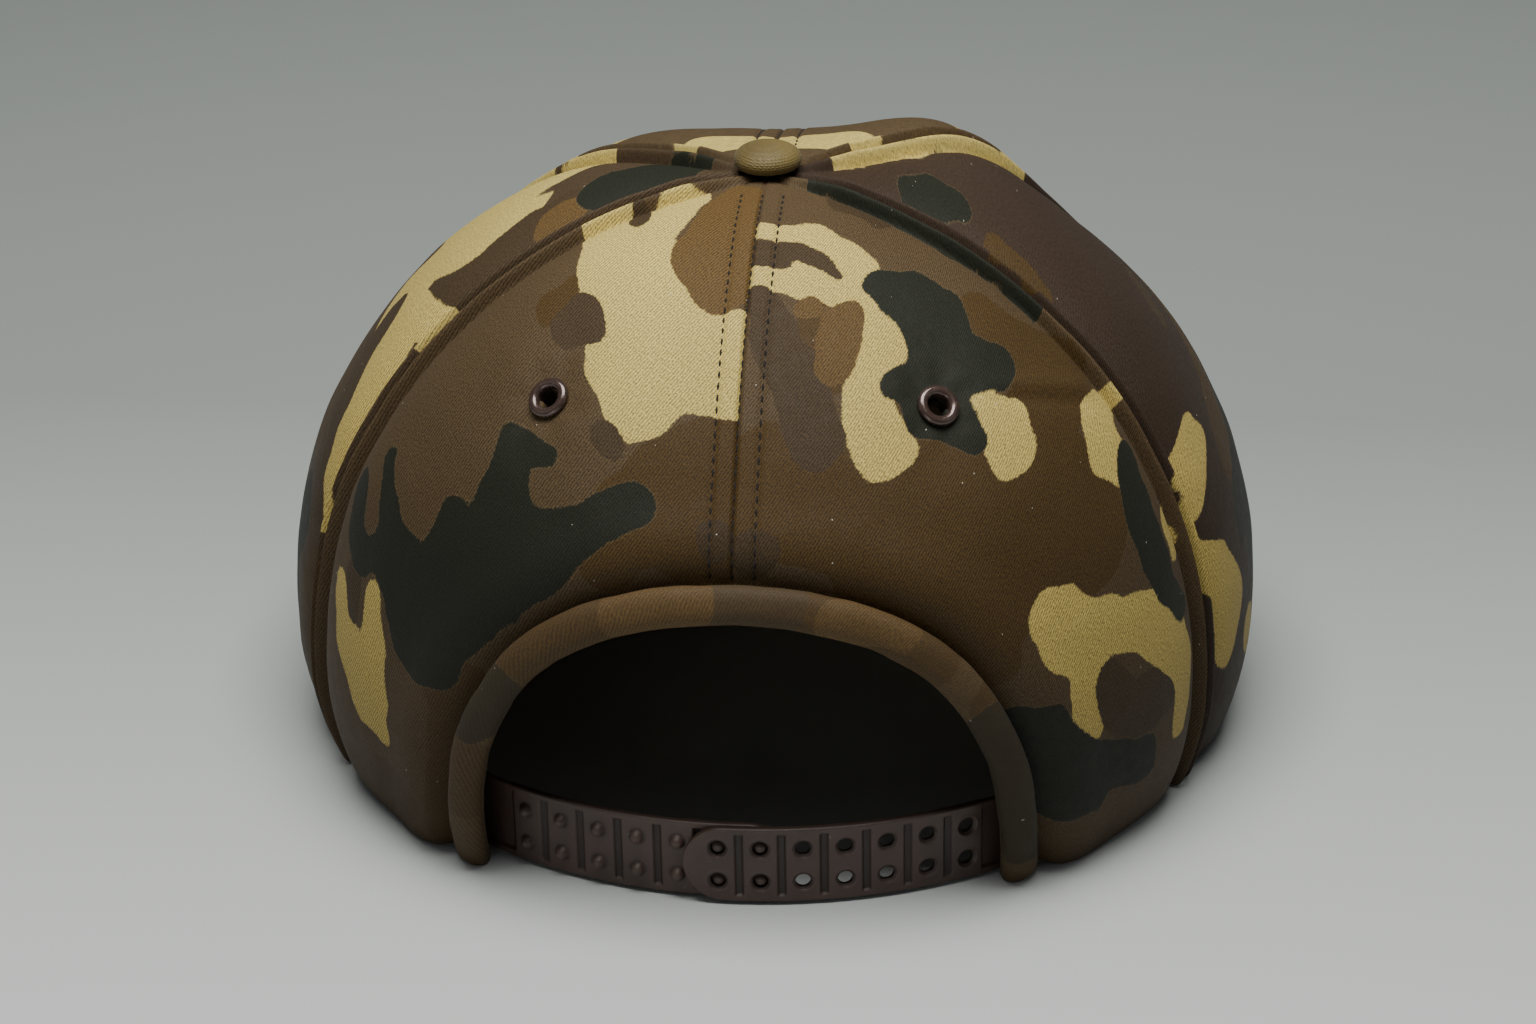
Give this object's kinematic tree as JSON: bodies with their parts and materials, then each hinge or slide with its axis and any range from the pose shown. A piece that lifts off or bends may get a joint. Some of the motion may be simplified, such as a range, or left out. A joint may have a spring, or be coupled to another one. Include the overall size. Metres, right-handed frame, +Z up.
{
  "type": "snapback cap",
  "caption": "Camouflage foam-padded snapback cap: panelled crown, bound arched back opening, plastic snap strap, covered top button, eyelets and curved visor.",
  "frame": {"origin": "centre of the head opening on the crown's axis, in the rim plane", "axes": "+Z up through the button, +Y forward towards the visor, +X towards the wearer's right, back strap at -Y"},
  "size_m": [0.2156, 0.277, 0.1321],
  "materials": {
    "camo_foam_panel": "foam-backed satin cloth printed with woodland camouflage",
    "camo_binding": "folded satin cloth binding, woodland camouflage",
    "camo_visor_cloth": "satin cloth printed with woodland camouflage, stitched rows",
    "seam_tape": "woven polyester tape",
    "sweatband_cloth": "brushed cotton twill",
    "visor_board": "moulded stiffener, hidden",
    "button_cloth": "satin cloth, olive bronze",
    "button_metal": "stamped",
    "eyelet_enamel": "gloss dark brown enamel",
    "strap_plastic": "moulded, soft satin"
  },
  "bodies": {
    "cap": {"back_left_panel": "camo_foam_panel", "back_right_panel": "camo_foam_panel", "side_left_panel": "camo_foam_panel", "side_right_panel": "camo_foam_panel", "front_left_panel": "camo_foam_panel", "front_right_panel": "camo_foam_panel", "seam_tape_back": "seam_tape", "seam_tape_back_left": "seam_tape", "seam_tape_back_right": "seam_tape", "seam_tape_front": "seam_tape", "seam_tape_front_left": "seam_tape", "seam_tape_front_right": "seam_tape", "opening_binding": "camo_binding", "sweatband": "sweatband_cloth", "visor_board": "visor_board", "visor_top_cover": "camo_visor_cloth", "visor_under_cover": "camo_visor_cloth", "button_core": "button_metal", "button_cover": "button_cloth", "button_rivet": "button_metal", "button_washer": "button_metal", "eyelet_left": "eyelet_enamel", "eyelet_right": "eyelet_enamel", "eyelet_washer_left": "eyelet_enamel", "eyelet_washer_right": "eyelet_enamel", "peg_strap_root": "strap_plastic", "hole_strap_root": "strap_plastic"},
    "hole_strap_body": {"hole_strap": "strap_plastic"},
    "peg_strap_body": {"peg_strap": "strap_plastic"}
  },
  "joints": [
    {"name": "hole_strap_bend", "type": "hinge", "parent": "cap", "child": "hole_strap_body", "pos_m": [0.05087, -0.083, 0.00955], "axis": [0, 0, 1], "range_deg": [0, 75], "stiffness_Nm_per_rad": 0.015},
    {"name": "peg_strap_bend", "type": "hinge", "parent": "cap", "child": "peg_strap_body", "pos_m": [-0.04995, -0.08151, 0.00955], "axis": [0, 0, 1], "range_deg": [0, 50], "stiffness_Nm_per_rad": 0.015}
  ]
}
